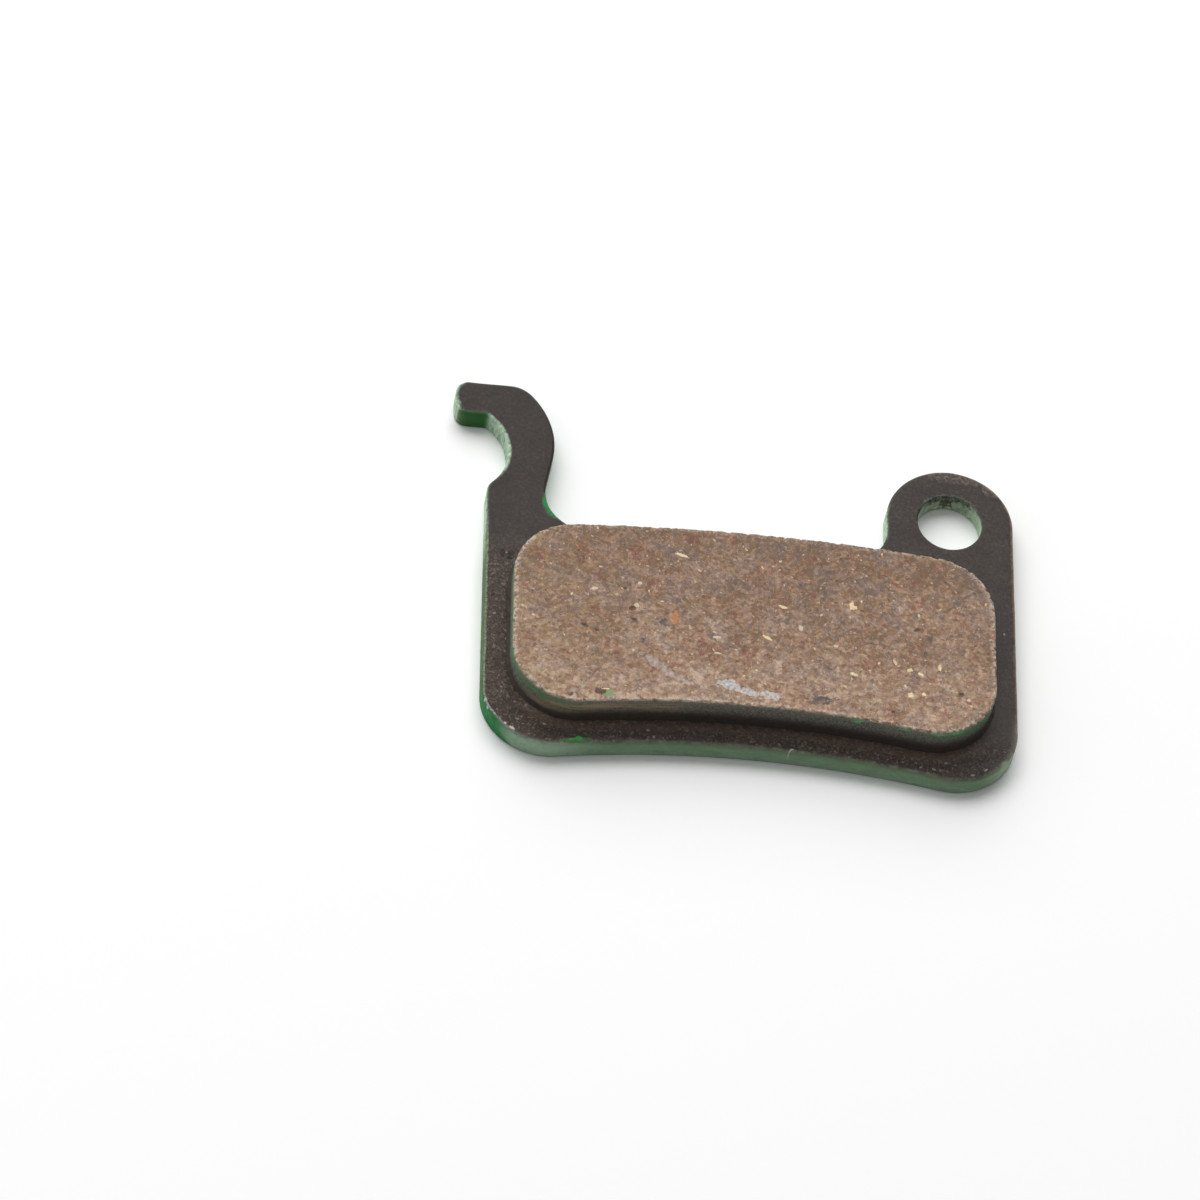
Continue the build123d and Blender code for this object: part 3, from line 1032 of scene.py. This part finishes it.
def green_paint(g, top, rim, haze):
    """Green paint on the edges and the back, differing from stretch to stretch, with painted sheen,
    highlights and shade on some.
    """
    colour = g.mix(g.noise(*deep_noise), *deep_greens)
    for mask, uneven, greens in green_stretches:
        colour = g.mix(g.field(mask), colour, g.mix(g.noise(*uneven), *greens))
    chalked = g.times(g.field("chalky"), g.noise(*chalk_noise))
    colour = g.mix(chalked, colour, g.mix(g.noise(*chalk_streaks), *chalk_greens))
    foremost = g.field("foremost")
    within = g.step(g.math("SUBTRACT", rim, g.field("haze_reach")), *haze_border)
    colour = g.over(
        colour,
        (shaded_coat, g.field("shaded")),
        (low_coat, foremost, g.step(rim, *low_band)),
        (streak_coat, foremost, g.noise(*streak_noise)),
        (high_coat, foremost, g.step(rim, *high_band)),
        (haze_coat, haze, within, g.scaled(g.noise(*haze_noise), *haze_span)),
    )
    return g.layers(colour, top / 2, stain_layers)


def paint_material():
    """Dark primer on the friction side and green paint on the edges and the back."""
    material = bpy.data.materials.new("plate_paint")
    g = Graph(material)
    top = node_levels("back_plate")[-1]
    rim, grit, haze = g.field("rim"), g.field("grit"), g.field("haze")
    grain, coarse = g.noise(*coat_noise), g.noise(*coarse_noise)
    wandering = g.add(rim, g.sway(g.noise(*rim_noise), rim_amount))
    beyond = g.add(wandering, g.times(g.field("wrap"), g.noise(*lap_noise), lap_reach))
    painted = g.step(beyond, *paint_border)
    colour = g.mix(painted, primer(g, top, grain, grit, coarse), green_paint(g, top, rim, haze))

    sooty = g.add(g.field("soot"), g.sway(g.noise(*soot_noise), soot_amount))
    unpainted = g.math("SUBTRACT", 1.0, painted)
    colour = g.over(
        colour,
        (soot_coat, g.step(sooty, *soot_border)),
        (veil_coat, haze, g.step(rim, *veil_band), unpainted),
    )
    flaked = g.noise(*flake_noise)
    # Pale line along the rolled rim, worn paint with a painted highlight
    rubbed = g.times(g.step(beyond, *rubbed_start), g.step(beyond, *rubbed_end), g.field("bright_rim"))
    line = g.times(rubbed, g.scaled(flaked, *flake_span))
    colour = g.mix(line, colour, g.mix(g.field("leftmost"), *rubbed_colours))
    turned = g.times(g.field("brown_rim"), g.step(wandering, *brown_band))
    colour = g.over(colour, (brown_coat, turned, g.scaled(flaked, *brown_span)))
    colour = g.layers(colour, top, rim_layers)

    roughness = g.add(g.scaled(painted, *paint_span), g.sway(grain, grain_rough))
    height = g.add(grain, g.times(grit, coarse, grit_height))
    g.finish(colour, roughness, height, coat_bump, coat_specular)
    return material


# Stage

def floor():
    """A plain white floor that keeps the shadow."""
    mesh = bpy.data.meshes.new("floor")
    half, level = floor_half * MM, -floor_drop * MM
    corners = [(-half, -half, level), (half, -half, level), (half, half, level), (-half, half, level)]
    mesh.from_pydata(corners, [], [(0, 1, 2, 3)])
    material = bpy.data.materials.new("floor_white")
    g = Graph(material)
    matt = g.node("BsdfDiffuse", {"Color": (floor_white,) * 3})
    path = g.node("LightPath").outputs
    seen = g.most(path["Is Camera Ray"], path["Is Glossy Ray"])
    glow = g.node("Emission", {"Color": (1, 1, 1), "Strength": g.times(seen, floor_glow)})
    both = g.node("AddShader", {0: matt.outputs[0], 1: glow.outputs[0]})
    g.node("OutputMaterial", {"Surface": both.outputs[0]})
    mesh.materials.append(material)
    piece = place_object("floor", mesh)


def dome():
    """White surroundings that shed less light than is seen of them."""
    world = bpy.data.worlds.new("surroundings")
    bpy.context.scene.world = world
    g = Graph(world)
    path = g.node("LightPath").outputs
    seen = g.most(path["Is Camera Ray"], path["Is Glossy Ray"], path["Is Transmission Ray"])
    strength = g.node("MapRange", {"Value": seen, "To Min": dome_level, "To Max": 1.0}).outputs["Result"]
    background = g.node("Background", {"Color": (1, 1, 1), "Strength": strength})
    g.node("OutputWorld", {"Surface": background.outputs[0]})


def direction(azimuth, elevation):
    """Unit vector from the pad towards an azimuth, where 0 is the front, and an elevation."""
    a, e = math.radians(azimuth), math.radians(elevation)
    return Vector((math.sin(a) * math.cos(e), -math.cos(a) * math.cos(e), math.sin(e)))


def softbox(name, azimuth, elevation, distance, side, level):
    """A square light that faces the pad and gives the floor that share of its light."""
    back = direction(azimuth, elevation)
    light = bpy.data.lights.new(name, "AREA")
    light.size = side * MM
    light.energy = level * (math.pi * distance * MM) ** 2 / back.z
    piece = place_object(name, light)
    piece.location = back * distance * MM
    piece.rotation_euler = (-back).to_track_quat("-Z", "Y").to_euler()
    piece.visible_camera = False


def camera():
    """The photograph's camera."""
    data = bpy.data.cameras.new("camera")
    data.lens = camera_lens
    data.sensor_width = sensor_width
    data.clip_start, data.clip_end = (reach * MM for reach in clip_range)
    piece = place_object("camera", data)
    back = direction(camera_azimuth, camera_elevation)
    aim = (-back).to_track_quat("-Z", "Y").to_matrix()
    turned = aim @ Matrix.Rotation(math.radians(camera_roll), 3, "Z")
    piece.location = (Vector(camera_target) + back * camera_distance) * MM
    piece.rotation_euler = turned.to_euler()
    bpy.context.scene.camera = piece


def dress(piece, node, material):
    """Gives a skin its material and lets it stand for its CAD node."""
    piece.data.materials.append(material)
    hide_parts(node)
    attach(piece, "root")


def main():
    """The pad's two skins, then the stage."""
    plate_corners = outlines_at("back_plate", node_levels("back_plate")[1])
    lining_corners = outlines_at("friction_lining", node_levels("friction_lining")[-2])
    lining_outline = Outline(lining_corners[0], lining_spacing)
    lining = Inside([lining_outline])
    outer, *holes = [Outline(corners, plate_spacing) for corners in plate_corners]
    keys = [hole for hole in holes if lining.depth([hole.points.mean(0)])[0] > 0]
    pin_hole = next(hole for hole in holes if hole not in keys)

    plate = plate_skin(outer, pin_hole, keys, lining)
    plate_masks(plate, lining, pin_hole)
    plate_relief(plate, lining)
    dress(plate, "back_plate", paint_material())

    block = lining_skin(lining_outline, keys)
    lining_masks(block)
    lining_relief(block)
    dress(block, "friction_lining", compound_material())

    floor()
    dome()
    softbox("back_light", *back_softbox, back_level)
    softbox("side_light", *side_softbox, side_level)
    camera()
    bpy.context.scene.view_settings.view_transform = "Standard"


main()
